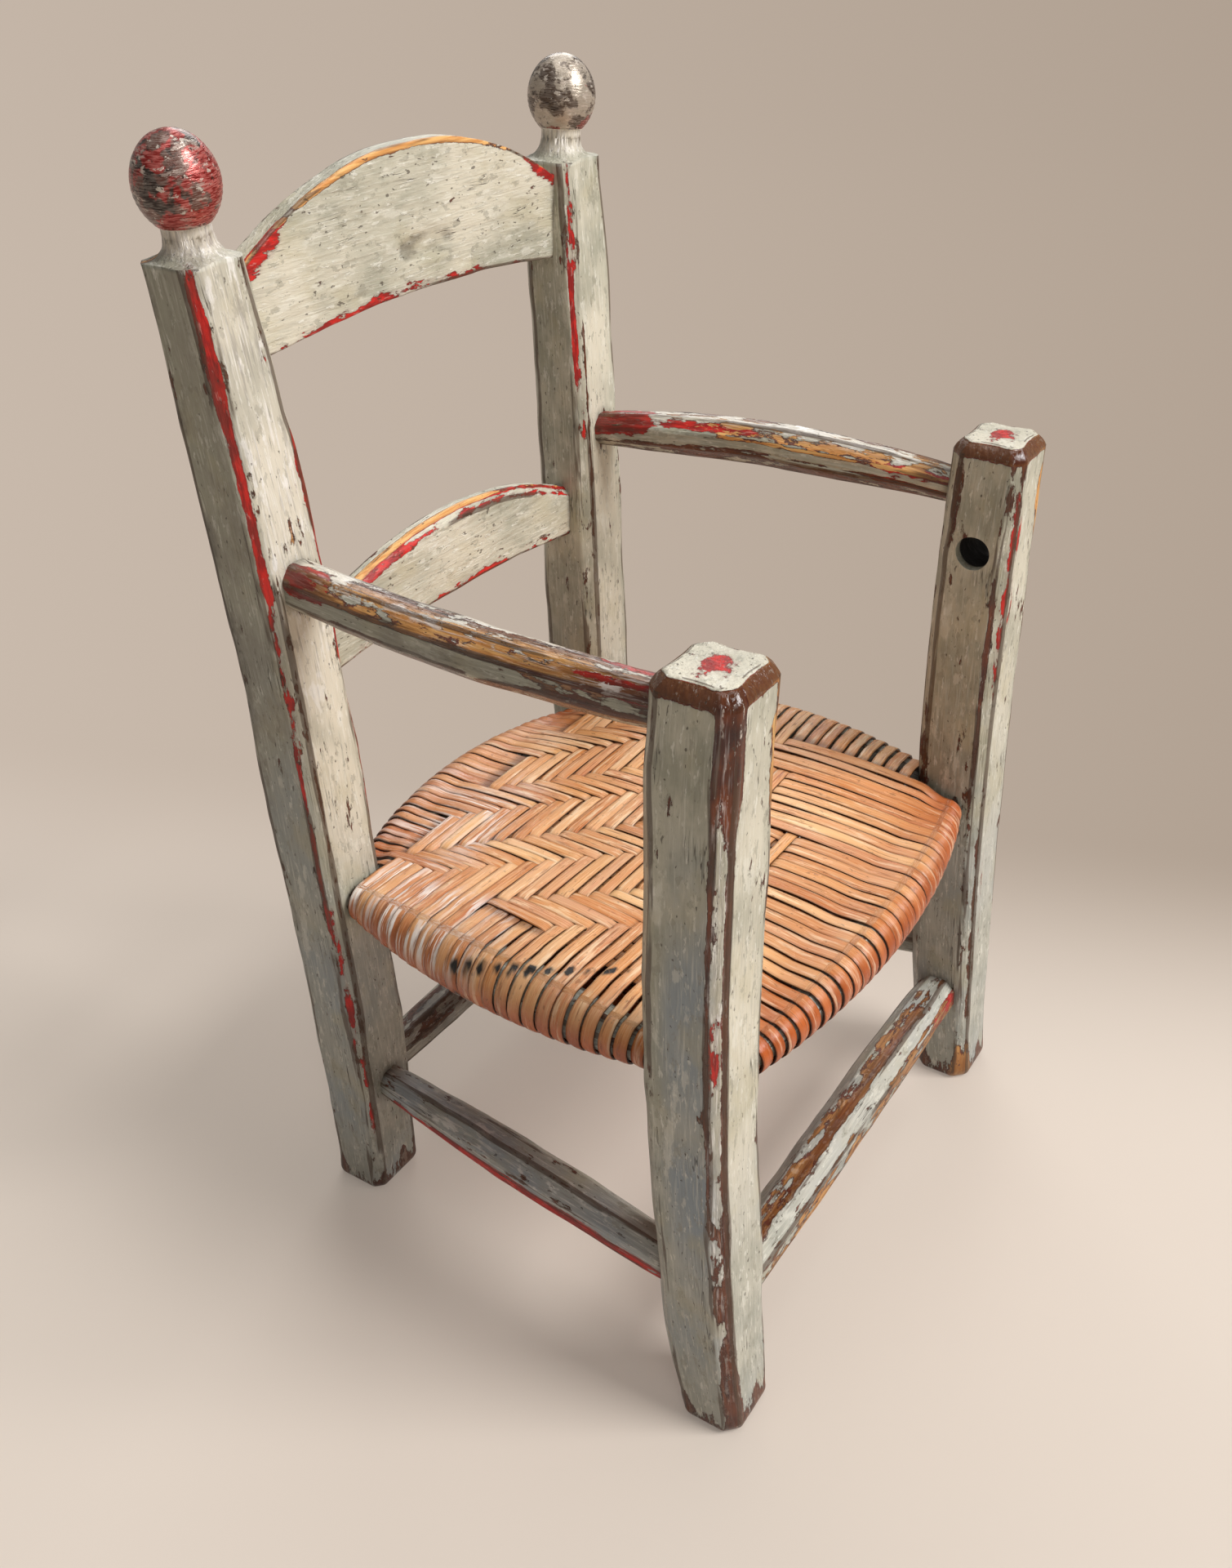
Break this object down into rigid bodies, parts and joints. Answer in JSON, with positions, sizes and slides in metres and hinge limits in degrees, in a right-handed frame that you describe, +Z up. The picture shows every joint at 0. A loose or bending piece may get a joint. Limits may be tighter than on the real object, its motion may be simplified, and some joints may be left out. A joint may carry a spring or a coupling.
{
  "type": "child's ladder-back armchair",
  "caption": "Child's ladder-back armchair with hewn eight-sided posts, ball finials, arched slats, spindle arms and rungs, and a woven splint seat, in worn milk paint.",
  "frame": {"origin": "on the floor under the middle of the chair", "axes": "+X to the chair's right side as seen from the front, +Y to the back, +Z up"},
  "size_m": [0.3384, 0.3055, 0.5657],
  "materials": {
    "painted_wood": "grey-green milk paint over red, worn through to dark and bare wood at the edges",
    "bare_wood": "bare, aged, matte",
    "splint": "bare shaved splint, satin, with scorched spots"
  },
  "bodies": {
    "root": {"front_post_left": "painted_wood", "front_post_right": "painted_wood", "back_post_left": "painted_wood", "back_post_right": "painted_wood", "crest_slat": "painted_wood", "lower_slat": "painted_wood", "left_arm": "painted_wood", "right_arm": "painted_wood", "front_rung": "painted_wood", "back_rung": "painted_wood", "left_rung": "painted_wood", "right_rung": "painted_wood", "front_seat_rail": "bare_wood", "back_seat_rail": "bare_wood", "left_seat_rail": "bare_wood", "right_seat_rail": "bare_wood", "seat_warp": "splint", "seat_weft": "splint"}
  },
  "joints": []
}
